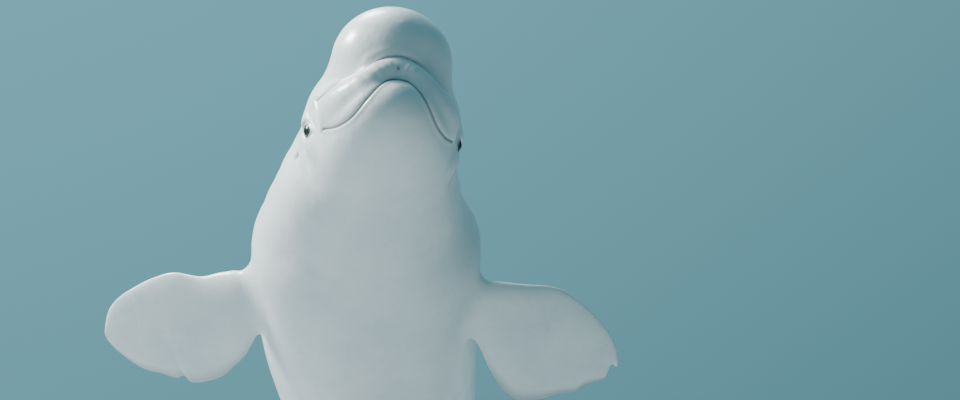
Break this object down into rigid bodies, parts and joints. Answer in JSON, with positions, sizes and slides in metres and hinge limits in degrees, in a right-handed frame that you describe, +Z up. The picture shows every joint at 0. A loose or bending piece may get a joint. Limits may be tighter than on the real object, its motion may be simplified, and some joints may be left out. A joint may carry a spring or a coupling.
{
  "type": "beluga whale model on a display stand",
  "caption": "Life-size beluga whale, upright with flippers spread, body sloping back to the flukes, on a flat base with rods.",
  "frame": {"origin": "middle of the underside of the display base", "axes": "+Z up; the whale's belly faces -Y, its tail goes back along +Y, and its left side is towards +X"},
  "size_m": [1.6697, 3.2259, 2.5083],
  "materials": {
    "skin": "smooth, satin, slightly wet white skin",
    "fin_skin": "smooth satin white skin with grey edges",
    "eye": "wet dark brown",
    "base_paint": "satin dark grey paint",
    "steel": "brushed"
  },
  "bodies": {
    "root": {"head": "skin", "lower_jaw": "skin", "neck": "skin", "chest": "skin", "abdomen": "skin", "tail_stock": "skin", "flipper_right": "fin_skin", "flipper_left": "fin_skin", "fluke_right": "fin_skin", "fluke_left": "fin_skin", "eye_right": "eye", "eye_left": "eye", "stand_base": "base_paint", "stand_rod_front": "steel", "stand_rod_rear": "steel"}
  },
  "joints": []
}
